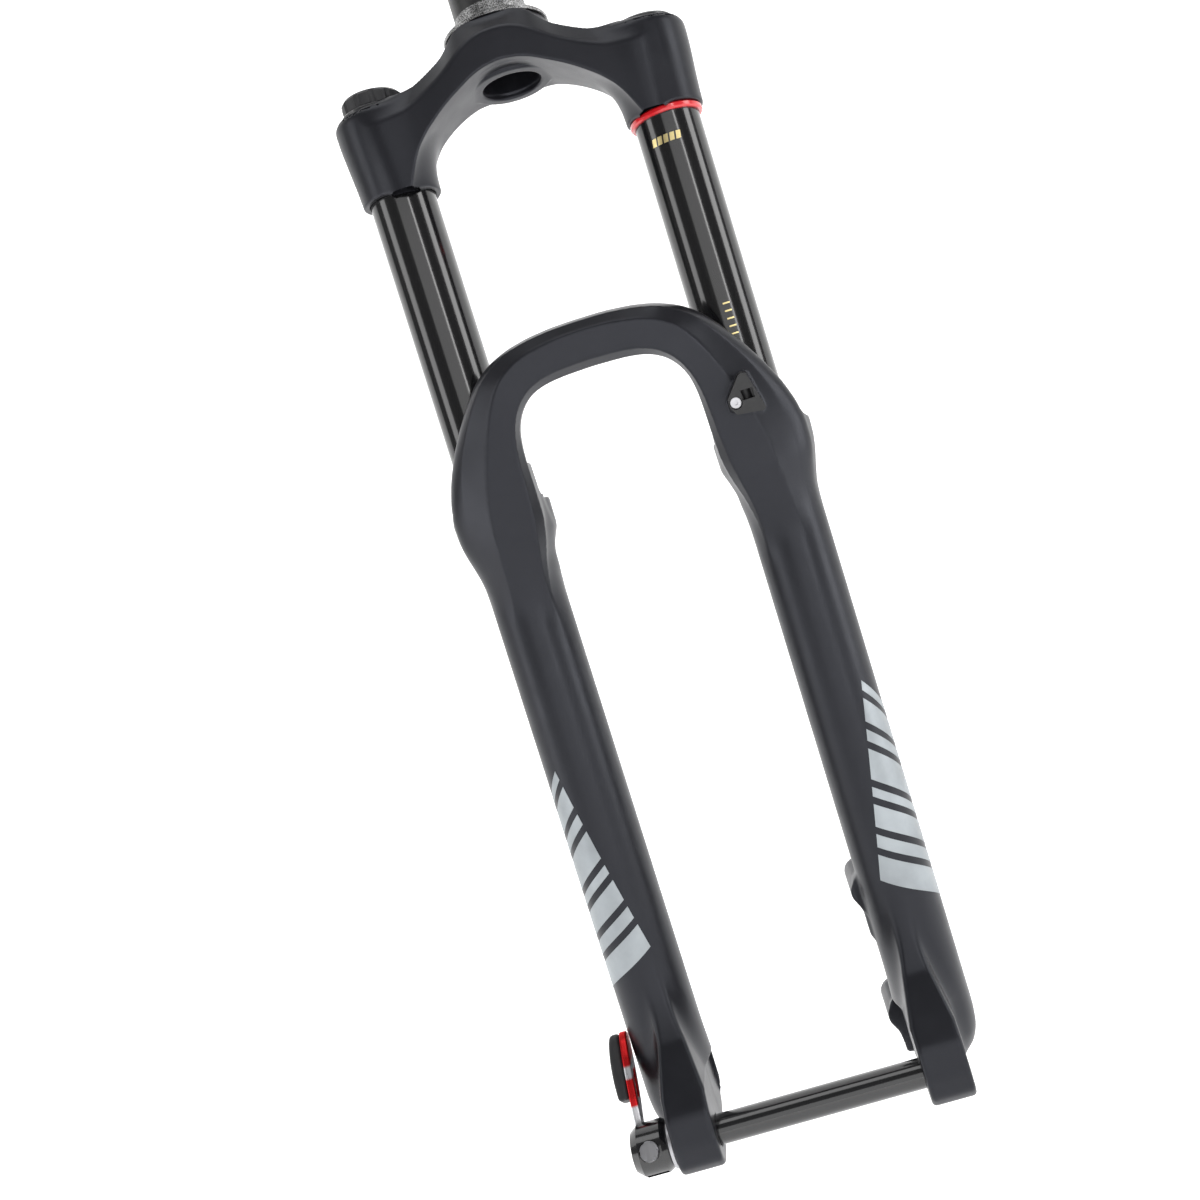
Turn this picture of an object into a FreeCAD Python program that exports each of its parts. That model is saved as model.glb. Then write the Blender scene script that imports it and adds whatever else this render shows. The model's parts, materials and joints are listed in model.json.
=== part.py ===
import FreeCAD, Part
import math
import os

# Single-crown mountain-bike suspension fork, in millimetres.
# Frame: +Z runs up the steerer, the front of the fork faces -Y, and +X is the rider's left.
# Origin: centre of the crown race seat, on the steerer axis.

# ---- layout ----
stanchion_spacing = 145.6
crown_lead = 9.2
axle_lead = 36.8
travel = 150.0
leg_top_gap = 21.0
stanchion_engage = 160.0
foot_room = 33.0
hub_gap = 110.0

# ---- steerer ----
race_seat_r = 19.9
race_seat_h = 7.5
race_flange_r = 28.5
race_flange_h = 2.2
steerer_base_r = 19.3
steerer_top_r = 14.3
steerer_taper_z0 = 25.0
steerer_taper_z1 = 90.0
steerer_top_z = 230.0
steerer_base_bore_r = 15.5
steerer_top_bore_r = 12.1

# ---- crown ----
crown_thickness = 28.0
boss_r = 27.6
socket_wall = 5.7
socket_lip_wall = 3.2
socket_top_z = -27.5
socket_bottom_z = -72.0
crown_front_y = -34.5
crown_shoulder_y = -26.0
crown_rear_rise = 6.3

# ---- stanchions ----
stanchion_r = 17.5
stanchion_wall = 2.0
stanchion_top_z = -28.5
cap_skirt = 18.0

# ---- lower casting ----
leg_wall = 1.8
leg_floor_up = 3.0
leg_bottom_down = 10.0
leg_toe_round = 7.9
foot_bore_r = 13.0
foot_bore_top_up = 29.0
housing_wall = 3.9
housing_h = 16.0
housing_taper = 18.0
seal_wall = 3.9
seal_depth = 20.0
arch_lean_deg = 11.8
arch_stand = 28.4
arch_bevel_depth = 7.0
arch_depth = 22.0
arch_relief = 2.1
dropout_width = 24.0
dropout_r = 15.5
hub_flat_h = 25.0
arch_rise = 75.8
arch_back_gap = 2.0
profile_leg_x = 72.8

# ---- seals and bushings ----
bushing_wall = 1.05
bushing_length = 20.0
upper_bushing_drop = 43.0
lower_bushing_rise = 5.0
run_clearance = 0.05
foam_h = 8.0
wiper_flange_over = 1.4
wiper_flange_h = 2.5
wiper_lip_h = 4.0

# ---- springs and damping ----
shaft_r = 5.0
shaft_bore_r = 3.6
piston_h = 14.0
air_shaft_reach = 41.0
damper_rod_reach = 51.0
tube_r = 13.0
tube_bore_r = 11.8
seal_head_h = 16.0
foot_head_r = 8.0
foot_head_h = 4.5
crush_washer_h = 1.2
rebound_rod_r = 1.5
spindle_r = 3.0
valve_stem_r = 3.9
valve_pin_r = 1.25

# ---- top of the legs ----
cap_overhang = 1.3
cap_head_h = 2.2
comp_knob_r = 16.3
comp_knob_h = 8.0
knob_gap = 0.3
lobe_count = 12
air_cap_r = 8.5
air_cap_h = 8.5

# ---- travel ring ----
ring_h = 3.2
ring_wall = 2.1

# ---- axle and lever ----
axle_r = 7.5
head_gap = 0.3
washer_h = 1.6
head_r = 13.2
head_length = 20.0
lever_back_deg = 37.0
lever_length = 61.0
lever_pin_drop = 3.0
lever_pin_r = 3.0
lever_slot = 7.0
lever_plate = 4.2
lever_leg_gap = 0.7
lever_pin_in = 10.0
lever_pin_to_plate = 3.0
paddle_thick = 7.2
paddle_start = 25.0

# ---- brake mount and hose guide ----
post_spacing = 74.2
post_lower_up = 12.0
post_inset = 17.8
post_face_y = 27.0
post_r = 8.0
post_hole_r = 2.5
post_hole_depth = 16.0
guide_screw_r = 1.6

V = FreeCAD.Vector
leg_x = stanchion_spacing / 2
leg_y = -crown_lead
leg_top_z = socket_bottom_z - travel - leg_top_gap
stanchion_bore_r = stanchion_r - stanchion_wall
stanchion_bottom_z = leg_top_z - stanchion_engage
slide_r = stanchion_r + run_clearance
socket_r = stanchion_r + socket_wall
socket_lip_r = stanchion_r + socket_lip_wall
cap_head_r = stanchion_r + cap_overhang
ring_r = stanchion_r + ring_wall
leg_bore_r = slide_r + bushing_wall
leg_r = leg_bore_r + leg_wall
seal_bore_r = leg_bore_r + seal_wall
housing_r = seal_bore_r + housing_wall
wiper_flange_r = seal_bore_r + wiper_flange_over
arch_relief_r = wiper_flange_r + arch_relief
arch_front_y = leg_y - leg_r - arch_stand
axle_y = leg_y - axle_lead
axle_z = stanchion_bottom_z - travel - foot_room
leg_floor_z = axle_z + leg_floor_up
leg_bottom_z = axle_z - leg_bottom_down
foot_bore_top_z = axle_z + foot_bore_top_up
leg_toe_r = leg_r - leg_toe_round
dropout_bottom_z = axle_z - dropout_r
dropout_in_x = hub_gap / 2
seat_x = dropout_in_x + dropout_width
head_x = -(seat_x + head_gap + washer_h)
pin_x = head_x - lever_pin_in
lever_inner_x = max(leg_x + leg_r + lever_leg_gap, lever_pin_to_plate - pin_x)
post_x = leg_x - post_inset
post_zs = (axle_z + post_lower_up, axle_z + post_lower_up + post_spacing)
air_shaft_top_z = stanchion_bottom_z + air_shaft_reach
damper_rod_top_z = stanchion_bottom_z + damper_rod_reach
UP = V(0, 0, 1)
SIDE = V(1, 0, 0)
BACK = V(0, 1, 0)

os.makedirs("parts", exist_ok=True)


def rod(x, y, z0, z1, r):
    """Upright cylinder between two heights."""
    return Part.makeCylinder(r, z1 - z0, V(x, y, z0), UP)


def pipe(x, y, z0, z1, r_out, r_in):
    """Upright tube between two heights."""
    return rod(x, y, z0, z1, r_out).cut(rod(x, y, z0 - 1, z1 + 1, r_in))


def cross_rod(x0, x1, y, z, r):
    """Cylinder along X."""
    return Part.makeCylinder(r, x1 - x0, V(x0, y, z), SIDE)


def turned(x, y, profile):
    """Solid of revolution about the upright line through (x, y); profile is (radius, z) pairs."""
    points = [V(x + r, y, z) for r, z in profile]
    face = Part.Face(Part.makePolygon(points + [points[0]]))
    return face.revolve(V(x, y, 0), UP, 360)


def turned_x(y, z, profile):
    """Solid of revolution about the line along X through (y, z); profile is (x, radius) pairs."""
    points = [V(x, y, z + r) for x, r in profile]
    face = Part.Face(Part.makePolygon(points + [points[0]]))
    return face.revolve(V(0, y, z), SIDE, 360)


def ring_cut(x, y, z, r_mid, r_section):
    """Torus lying flat around an upright line."""
    return Part.makeTorus(r_mid, r_section, V(x, y, z), UP)


def curve(points):
    """Smooth edge through the points."""
    spline = Part.BSplineCurve()
    spline.interpolate(points)
    return spline.toShape()


def mirrored_points(half):
    """(x, z) pairs from the right-hand half, continued to the left."""
    left = [(-x, z) for x, z in reversed(half) if x > 0]
    return left + list(half)


def band_wire(upper, lower, y):
    """Closed wire of an upper and a lower curve at y, stretched to the leg spacing."""
    stretch = leg_x / profile_leg_x
    top = [V(x * stretch, y, z) for x, z in mirrored_points(upper)]
    low = [V(x * stretch, y, z) for x, z in mirrored_points(lower)]
    edges = [curve(top)]
    edges.append(Part.makeLine(top[-1], low[-1]))
    edges.append(curve(low))
    edges.append(Part.makeLine(low[0], top[0]))
    return Part.Wire(Part.__sortEdges__(edges))


def slab(wire, direction):
    """Solid from a flat wire pushed along a direction."""
    return Part.Face(wire).extrude(direction)


def box(x0, x1, y0, y1, z0, z1):
    return Part.makeBox(x1 - x0, y1 - y0, z1 - z0, V(x0, y0, z0))


def fuse(shapes):
    whole = shapes[0]
    for shape in shapes[1:]:
        whole = whole.fuse(shape)
    return whole.removeSplitter()


def save(name, shape):
    shape.exportStep("parts/" + name + ".step")


# ------------------------------------------------------------------ crown and steerer

def crown():
    """Forged crown: two sockets, a centre boss and arms with a bevelled upper front edge."""
    top_full = [(0, -2.5), (12, -2.6), (17.5, -3.4), (21, -6.2), (25, -11), (29.2, -15), (35.6, -18.6),
                (42, -21.8), (48.6, -24.6), (55, -26.8), (63, -27.8), (profile_leg_x, -28.0)]
    top_front = [(0, -12), (10, -13.2), (20, -18.5), (30, -25), (40, -32), (50, -37.2), (60, -39.6),
                 (profile_leg_x, -41)]
    low = [(0, -crown_thickness), (9, -29.2), (22, -34), (36, -42), (46, -49.5), (53, -58), (58, -66),
           (profile_leg_x, -68)]
    low_back = [(x, z + crown_rear_rise) for x, z in low]
    shoulder = band_wire(top_full, low, crown_shoulder_y)
    bevel = Part.makeLoft([band_wire(top_front, low, crown_front_y), shoulder], True)
    body = Part.makeLoft([shoulder, band_wire(top_full, low_back, boss_r + 6)], True)
    plan_front = [(0, crown_front_y), (22, -34.0), (45, -32.2), (profile_leg_x, leg_y - socket_r + 1.4)]
    plan_back = [(0, boss_r - 1), (10, 25.4), (20, 20.0), (30, 12.2), (42, 8.0), (55, 8.6),
                 (profile_leg_x, leg_y + socket_r - 2)]
    stretch = leg_x / profile_leg_x
    front = [V(x * stretch, y, socket_bottom_z) for x, y in mirrored_points(plan_front)]
    back = [V(x * stretch, y, socket_bottom_z) for x, y in mirrored_points(plan_back)]
    edges = [curve(front), Part.makeLine(front[-1], back[-1]), curve(back), Part.makeLine(back[0], front[0])]
    plan = slab(Part.Wire(Part.__sortEdges__(edges)), V(0, 0, -socket_bottom_z))
    arms = bevel.fuse(body).common(plan)
    solids = [arms, rod(0, 0, -crown_thickness, -race_flange_h, boss_r)]
    for side in (-1, 1):
        profile = [(0, socket_bottom_z), (socket_lip_r, socket_bottom_z), (socket_r, socket_top_z - 9),
                   (socket_r - 0.7, socket_top_z - 4), (socket_r - 2.0, socket_top_z - 1.2),
                   (socket_r - 3.6, socket_top_z), (0, socket_top_z)]
        solids.append(turned(side * leg_x, leg_y, profile))
    whole = fuse(solids)
    for side in (-1, 1):
        whole = whole.cut(rod(side * leg_x, leg_y, socket_bottom_z - 1, socket_top_z + 1, stanchion_r))
        whole = whole.cut(rod(side * leg_x, leg_y, stanchion_top_z, 1, cap_head_r))
    return whole.cut(rod(0, 0, -crown_thickness - 1, 1, steerer_base_bore_r))


def steerer():
    """Tapered steerer with the crown race seat and the wide flange under it."""
    profile = [
        (steerer_base_bore_r, -race_flange_h), (race_flange_r, -race_flange_h), (race_flange_r, -0.6),
        (race_flange_r - 0.6, 0), (race_seat_r, 0), (race_seat_r, race_seat_h),
        (steerer_base_r, race_seat_h + 0.8), (steerer_base_r, steerer_taper_z0),
        (steerer_top_r, steerer_taper_z1), (steerer_top_r, steerer_top_z),
        (steerer_top_bore_r, steerer_top_z), (steerer_top_bore_r, steerer_taper_z1),
        (steerer_base_bore_r, steerer_taper_z0),
    ]
    return turned(0, 0, profile)


def stanchion(side):
    return pipe(side * leg_x, leg_y, stanchion_bottom_z, stanchion_top_z, stanchion_r, stanchion_bore_r)


# ------------------------------------------------------------------ lower casting

def leg_outside(side):
    """Outer form of one lower leg, from the seal housing down to the rounded toe."""
    top = leg_top_z
    profile = [
        (0, top), (housing_r - 1.2, top), (housing_r, top - 1.2), (housing_r, top - housing_h),
        (leg_r + 1.6, top - housing_h - housing_taper * 0.7), (leg_r, top - housing_h - housing_taper),
        (leg_r, leg_bottom_z + 22), (leg_r - 1.0, leg_bottom_z + 12), (leg_r - 3.8, leg_bottom_z + 4.5),
        (leg_toe_r, leg_bottom_z), (0, leg_bottom_z),
    ]
    return turned(side * leg_x, leg_y, profile)


def leg_inside(side):
    """Bore, seal counterbore and foot-bolt hole of one lower leg."""
    x = side * leg_x
    cutter = rod(x, leg_y, foot_bore_top_z, leg_top_z + 1, leg_bore_r)
    cutter = cutter.fuse(rod(x, leg_y, leg_floor_z, foot_bore_top_z + 1, foot_bore_r))
    cutter = cutter.fuse(rod(x, leg_y, leg_top_z - seal_depth, leg_top_z + 1, seal_bore_r))
    return cutter.fuse(rod(x, leg_y, leg_bottom_z - 1, leg_floor_z + 1, shaft_bore_r))


def arch():
    """Brace across the front: a bevelled band that leans back into both legs."""
    rise = leg_top_z + arch_rise
    outer = [(0, 0), (14, -0.2), (28, -1.6), (40, -4.0), (51, -8.6), (60, -15), (67.5, -23.5), (75.2, -34),
             (82.8, -45.5), (89.8, -58.5), (94.8, -72), (96.6, -84), (95, -95), (90.5, -105), (86, -115),
             (82, -128)]
    crease = [(0, -5), (15, -5.8), (30, -8.2), (39, -11.8), (47, -18), (53, -25.5), (58, -34), (62.5, -44),
              (66.5, -55), (70, -67), (73, -80), (74.5, -93), (74.5, -106), (73.5, -117), (72, -128)]
    inner = [(0, -24), (15, -24.5), (25, -25.6), (32, -27.8), (37.4, -31.2), (42, -36.5), (45.3, -43.5),
             (46.8, -53), (47.2, -64), (47.4, -76), (47.6, -90), (50, -103), (54, -114), (58, -128)]
    inner_front = [(0, -19.6), (15, -20.1), (25, -21.4), (32.5, -24.0), (39.0, -28.0), (44.4, -34.2),
                   (48.2, -42.5), (50.0, -53), (50.4, -64), (50.8, -76), (51.4, -90), (53.4, -103),
                   (56.5, -114), (59, -128)]

    def shift(points):
        return [(x, z + rise) for x, z in points]

    front = arch_front_y
    shoulder = arch_front_y + arch_bevel_depth
    back_wire = band_wire(shift(outer), shift(inner), shoulder)
    bevel = Part.makeLoft([band_wire(shift(crease), shift(inner_front), front), back_wire], True)
    body = slab(back_wire, V(0, arch_depth - arch_bevel_depth, 0))
    band = bevel.fuse(body)
    band.rotate(V(0, front, rise), SIDE, arch_lean_deg)
    for side in (-1, 1):
        relief = rod(side * leg_x, leg_y, leg_top_z, rise + 30, arch_relief_r)
        band = band.cut(relief)
    low_z = socket_bottom_z - travel - arch_back_gap
    return band.cut(box(-leg_x, leg_x, crown_front_y - arch_back_gap, 20, low_z, rise + 30))


def dropout(side):
    """Forward-set axle lug that blends out of the front of the leg toe."""
    x = dropout_in_x if side > 0 else -dropout_in_x - dropout_width
    outline = [V(x, leg_y - leg_r + 6, axle_z + 84), V(x, leg_y - leg_r - 0.5, axle_z + 66)]
    outline += [V(x, axle_y + 9, axle_z + 48), V(x, axle_y - 4, axle_z + 32)]
    outline += [V(x, axle_y - dropout_r + 1, axle_z + 14), V(x, axle_y - dropout_r, axle_z)]
    outline += [V(x, axle_y - dropout_r + 2.5, axle_z - 9)]
    front = curve(outline)
    toe = [V(x, axle_y - dropout_r + 2.5, axle_z - 9), V(x, axle_y - 5, dropout_bottom_z)]
    toe += [V(x, axle_y + 10, dropout_bottom_z), V(x, leg_y - 11, leg_bottom_z)]
    back = [toe[-1], V(x, leg_y, axle_z + 84), outline[0]]
    edges = [front] + [Part.makeLine(a, b) for a, b in zip(toe, toe[1:])]
    edges += [Part.makeLine(a, b) for a, b in zip(back, back[1:])]
    return slab(Part.Wire(Part.__sortEdges__(edges)), V(dropout_width, 0, 0))


def brake_posts():
    """Two rear tabs on the left leg that carry the caliper."""
    tabs = []
    for z in post_zs:
        tabs.append(Part.makeCylinder(post_r, post_face_y - leg_y, V(post_x, leg_y, z), BACK))
        web = [V(post_x - 3.5, leg_y + 8, z + post_r), V(post_x - 3.5, post_face_y - 5, z + post_r - 3)]
        web += [V(post_x - 3.5, post_face_y - 5, z - post_r + 2), V(post_x - 3.5, leg_y + 8, z - post_r - 16)]
        tabs.append(slab(Part.makePolygon(web + [web[0]]), V(9.0, 0, 0)))
    return tabs


def brake_post_holes():
    holes = []
    for z in post_zs:
        start = V(post_x, post_face_y - post_hole_depth, z)
        holes.append(Part.makeCylinder(post_hole_r, post_hole_depth + 1, start, BACK))
    return holes


def guide_seat():
    """Centre of the hose guide's foot on the front of the left shoulder."""
    return V(leg_x - 4.8, arch_front_y + 10.8, leg_top_z + 17.0)


def leaned(shape):
    """Tips a shape on the hose guide's foot back by the arch's lean."""
    shape.rotate(guide_seat(), SIDE, arch_lean_deg)
    return shape


def guide_slab(grow, y0, depth):
    """Rounded triangle of the hose guide, grown all round, from y0 backwards."""
    seat = guide_seat()
    outline = [(-6, -7), (-8.6, -2.5), (-8.4, 1.5), (-0.6, 11.2), (1.4, 12.2), (3.6, 11.6), (8.8, -7.4),
               (7.4, -8.6)]
    points = [V(seat.x + x * grow, seat.y + y0, seat.z + z * grow) for x, z in outline]
    return slab(Part.makePolygon(points + [points[0]]), V(0, depth, 0))


def lower_casting():
    solids = [arch()]
    for side in (-1, 1):
        solids += [leg_outside(side), dropout(side)]
    solids += brake_posts()
    solids.append(leaned(guide_slab(1.15, 0, 10.0)))
    whole = fuse(solids)
    for side in (-1, 1):
        whole = whole.cut(leg_inside(side))
    reach = seat_x + 30
    whole = whole.cut(cross_rod(-reach, reach, axle_y, axle_z, axle_r + run_clearance))
    for x0 in (-seat_x - 30, seat_x):
        whole = whole.cut(cross_rod(x0, x0 + 30, axle_y, axle_z, head_r + 2.5))
    hub_low_z = dropout_bottom_z - 5
    hub_high_z = axle_z + hub_flat_h
    whole = whole.cut(box(-dropout_in_x, dropout_in_x, axle_y - 40, leg_y + 4, hub_low_z, hub_high_z))
    for hole in brake_post_holes():
        whole = whole.cut(hole)
    start = guide_seat() + V(-5.0, -1, -1.4)
    return whole.cut(leaned(Part.makeCylinder(guide_screw_r, 12, start, BACK)))


# ------------------------------------------------------------------ seals and bushings

def bushing(side, z):
    return pipe(side * leg_x, leg_y, z, z + bushing_length, leg_bore_r, slide_r)


def foam_ring(side):
    z = leg_top_z - seal_depth
    return pipe(side * leg_x, leg_y, z, z + foam_h, seal_bore_r, slide_r)


def wiper(side):
    """Dust wiper: pressed skirt, flange and a lip that narrows to the stanchion."""
    z = leg_top_z - seal_depth + foam_h
    inner = slide_r
    flange_top = leg_top_z + wiper_flange_h
    lip = flange_top + wiper_lip_h
    profile = [
        (inner, z), (seal_bore_r, z), (seal_bore_r, leg_top_z), (wiper_flange_r, leg_top_z),
        (wiper_flange_r, flange_top - 0.6), (wiper_flange_r - 0.8, flange_top),
        (inner + 2.4, flange_top + 0.4), (inner + 1.5, lip - 1.2), (inner + 0.5, lip), (inner, lip),
    ]
    body = turned(side * leg_x, leg_y, profile)
    return body.cut(wiper_spring(side))


def wiper_spring(side):
    """Garter spring in a groove around the wiper lip."""
    z = leg_top_z + wiper_flange_h + 1.7
    return ring_cut(side * leg_x, leg_y, z, slide_r + 2.1, 0.55)


# ------------------------------------------------------------------ air spring, in the left leg

def top_cap(side, hole_r):
    """Threaded cap over a stanchion, with an o-ring groove in its skirt."""
    x = side * leg_x
    head_top = socket_top_z + cap_head_h
    z_low = stanchion_top_z - cap_skirt
    profile = [
        (hole_r, z_low), (stanchion_bore_r, z_low), (stanchion_bore_r, stanchion_top_z),
        (cap_head_r, stanchion_top_z),
        (cap_head_r, head_top - 0.8), (cap_head_r - 0.8, head_top), (hole_r, head_top),
    ]
    return turned(x, leg_y, profile).cut(cap_seal(side))


def cap_seal(side):
    """Square-section ring sealing a cap skirt to the tube."""
    z = stanchion_top_z - cap_skirt + 4
    return pipe(side * leg_x, leg_y, z, z + 2.0, stanchion_bore_r, stanchion_bore_r - 1.6)


def air_cap_pocket():
    """Recess in the air-side cap that holds the valve and its cap."""
    z = stanchion_top_z - 3.0
    return rod(leg_x, leg_y, z, z + 40, air_cap_r + 0.6)


def air_top_cap():
    return top_cap(1, valve_stem_r).cut(air_cap_pocket())


def volume_spacer():
    """Clip-in spacer hanging under the air-side cap."""
    z = stanchion_top_z - cap_skirt
    return pipe(leg_x, leg_y, z - 22, z, 13.5, 7.0)


def valve_body():
    """Valve stem screwed through the air-side cap."""
    z_low = stanchion_top_z - cap_skirt - 4
    z_top = stanchion_top_z + 5.0
    stem = pipe(leg_x, leg_y, z_low, z_top, valve_stem_r, valve_pin_r + run_clearance)
    return stem.fuse(pipe(leg_x, leg_y, stanchion_top_z - 3.0, stanchion_top_z - 1.8, 6.0, 3.0))


def valve_core_pin():
    """Sprung pin in the middle of the valve."""
    return rod(leg_x, leg_y, stanchion_top_z - cap_skirt + 2, stanchion_top_z + 4.6, valve_pin_r)


def air_valve_cap():
    """Knurled screw-on cap over the valve."""
    z0 = stanchion_top_z - 1.5
    z1 = z0 + air_cap_h
    body = rod(leg_x, leg_y, z0, z1, air_cap_r)
    body = body.cut(rod(leg_x, leg_y, z0 - 1, stanchion_top_z + 6.9, valve_stem_r + run_clearance))
    for k in range(lobe_count):
        a = 2 * math.pi * k / lobe_count
        x = leg_x + (air_cap_r + 0.9) * math.cos(a)
        y = leg_y + (air_cap_r + 0.9) * math.sin(a)
        body = body.cut(rod(x, y, z0 - 1, z1 + 1, 1.5))
    return body


def air_shaft():
    """Hollow shaft from the foot of the leg up to the air piston."""
    return pipe(leg_x, leg_y, leg_floor_z, air_shaft_top_z, shaft_r, shaft_bore_r)


def piston(side, z_top, r_out):
    """Piston clamped on top of a shaft, grooved for its seal or glide ring."""
    body = pipe(side * leg_x, leg_y, z_top - piston_h, z_top, r_out, shaft_r)
    return body.cut(piston_ring(side, z_top, r_out))


def piston_ring(side, z_top, r_out):
    z = z_top - piston_h / 2 - 1.5
    return pipe(side * leg_x, leg_y, z, z + 3.0, r_out, r_out - 1.4)


def air_piston_r():
    return stanchion_bore_r - run_clearance


def bumper():
    """Bottom-out bumper standing around the air shaft at the foot of the leg."""
    return pipe(leg_x, leg_y, leg_floor_z, leg_floor_z + 12, 10.0, shaft_r)


def seal_head(side):
    """Plug in the bottom of a stanchion that the shaft slides through."""
    z0 = stanchion_bottom_z + 3.0
    return pipe(side * leg_x, leg_y, z0, z0 + seal_head_h, stanchion_bore_r, shaft_r + run_clearance)


def head_clip(side):
    """Snap ring below a seal head."""
    z1 = stanchion_bottom_z + 3.0
    return pipe(side * leg_x, leg_y, z1 - 1.4, z1, stanchion_bore_r, stanchion_bore_r - 2.2)


def foot_bolt(side):
    """Hollow bolt up into the shaft from below the leg."""
    x = side * leg_x
    z = leg_bottom_z - crush_washer_h
    stem_top = leg_floor_z + 16
    bolt = rod(x, leg_y, z, stem_top, shaft_bore_r)
    head = rod(x, leg_y, z - foot_head_h, z, foot_head_r)
    for k in range(6):
        a = math.pi / 3 * k
        scoop_x = x + foot_head_r * 1.42 * math.cos(a)
        scoop_y = leg_y + foot_head_r * 1.42 * math.sin(a)
        head = head.cut(rod(scoop_x, scoop_y, z - foot_head_h - 1, z - 1.2, 4.2))
    through = rod(x, leg_y, z - foot_head_h - 1, stem_top + 1, rebound_rod_r + run_clearance)
    return bolt.fuse(head).cut(through)


def crush_washer(side):
    z = leg_bottom_z
    return pipe(side * leg_x, leg_y, z - crush_washer_h, z, foot_head_r + 0.6, shaft_bore_r)


# ------------------------------------------------------------------ damper, in the right leg

def damper_tube():
    z_top = stanchion_top_z - cap_skirt
    z_low = stanchion_bottom_z + 3.0 + seal_head_h
    return pipe(-leg_x, leg_y, z_low, z_top, tube_r, tube_bore_r)


def compression_valve():
    """Valve stack fixed across the damper tube, on a stem from the cap."""
    z_top = stanchion_top_z - cap_skirt
    bore_r = spindle_r + run_clearance
    stack = pipe(-leg_x, leg_y, z_top - 66, z_top - 50, tube_bore_r, bore_r)
    return stack.fuse(pipe(-leg_x, leg_y, z_top - 50, z_top, 4.4, bore_r))


def bladder():
    """Rubber sleeve around the valve stem that takes up the oil."""
    z_top = stanchion_top_z - cap_skirt
    sleeve = [(5.4, z_top - 46), (9.0, z_top - 44), (10.4, z_top - 36), (10.4, z_top - 14), (9.0, z_top - 5),
              (5.4, z_top - 3), (4.4, z_top - 3), (4.4, z_top - 5), (8.0, z_top - 8), (9.2, z_top - 15),
              (9.2, z_top - 35), (8.0, z_top - 42), (4.4, z_top - 44.5), (4.4, z_top - 46)]
    return turned(-leg_x, leg_y, sleeve)


def damper_rod():
    return pipe(-leg_x, leg_y, leg_floor_z, damper_rod_top_z, shaft_r, shaft_bore_r)


def rebound_rod():
    """Thin rod that carries the rebound knob's turn up inside the damper rod."""
    return rod(-leg_x, leg_y, leg_bottom_z - 10, damper_rod_top_z - 6, rebound_rod_r)


def rebound_knob():
    """Grooved knob under the right leg."""
    z1 = leg_bottom_z - crush_washer_h - foot_head_h - knob_gap
    z0 = z1 - 8.0
    knob = turned(-leg_x, leg_y, [(0, z0), (6.4, z0), (7.6, z0 + 1.2), (7.6, z1 - 0.8), (6.8, z1), (0, z1)])
    for k in range(lobe_count):
        a = 2 * math.pi * k / lobe_count
        knob = knob.cut(rod(-leg_x + 8.3 * math.cos(a), leg_y + 8.3 * math.sin(a), z0 - 1, z1 + 1, 1.4))
    return knob.cut(rod(-leg_x, leg_y, leg_bottom_z - 10, z1 + 1, rebound_rod_r))


def compression_knob():
    """Scalloped dial on the damper cap."""
    z0 = socket_top_z + cap_head_h + knob_gap
    z1 = z0 + comp_knob_h
    r = comp_knob_r
    profile = [(0, z0), (r - 0.6, z0), (r, z0 + 0.8), (r, z1 - 1.6), (r - 1.4, z1), (5.2, z1),
               (4.4, z1 - 1.0), (0, z1 - 1.0)]
    knob = turned(-leg_x, leg_y, profile)
    for k in range(lobe_count):
        a = 2 * math.pi * (k + 0.5) / lobe_count
        x = -leg_x + (r + 1.0) * math.cos(a)
        y = leg_y + (r + 1.0) * math.sin(a)
        knob = knob.cut(rod(x, y, z0 - 1, z1 + 1, 2.0))
    return knob.cut(rod(-leg_x, leg_y, z0 - 1, z0 + 5, spindle_r))


def compression_spindle():
    """Spindle from the dial down through the cap into the valve stem."""
    z0 = socket_top_z + cap_head_h + knob_gap
    return rod(-leg_x, leg_y, stanchion_top_z - cap_skirt - 48, z0 + 5, spindle_r)


# ------------------------------------------------------------------ travel ring and hose guide

def travel_ring():
    z1 = socket_bottom_z - 0.1
    z0 = z1 - ring_h
    profile = [
        (slide_r, z0), (ring_r - 0.8, z0), (ring_r, z0 + 0.8), (ring_r, z1 - 0.8),
        (ring_r - 0.8, z1), (slide_r, z1),
    ]
    return turned(leg_x, leg_y, profile)


def hose_guide():
    """Triangular clip with a loop for the brake hose."""
    seat = guide_seat()
    body = guide_slab(1.0, -7.0, 7.0)
    channel = Part.makeCylinder(2.6, 60, seat + V(4.6, -3.6, -30), V(-0.10, 0, 1))
    window = box(seat.x - 1.5, seat.x + 4.8, seat.y - 9, seat.y - 4.6, seat.z - 1.0, seat.z + 4.0)
    pocket = Part.makeCylinder(3.2, 6.0, seat + V(-5.0, -9.0, -1.4), BACK)
    hole = Part.makeCylinder(guide_screw_r, 20, seat + V(-5.0, -9.0, -1.4), BACK)
    return leaned(body.cut(channel).cut(window).cut(pocket).cut(hole))


def guide_screw():
    seat = guide_seat() + V(-5.0, 0, -1.4)
    head = Part.makeCylinder(2.7, 2.0, seat + V(0, -5.0, 0), BACK)
    socket = Part.makeCylinder(1.2, 1.3, seat + V(0, -5.1, 0), BACK)
    stem = Part.makeCylinder(guide_screw_r, 12.5, seat + V(0, -3.0, 0), BACK)
    return leaned(head.fuse(stem).cut(socket))


# ------------------------------------------------------------------ through-axle

def lever_frame(shape):
    """Leans a shape modelled upright at the axle back to the lever's closed angle."""
    shape.rotate(V(0, axle_y, axle_z), SIDE, -lever_back_deg)
    return shape


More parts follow.
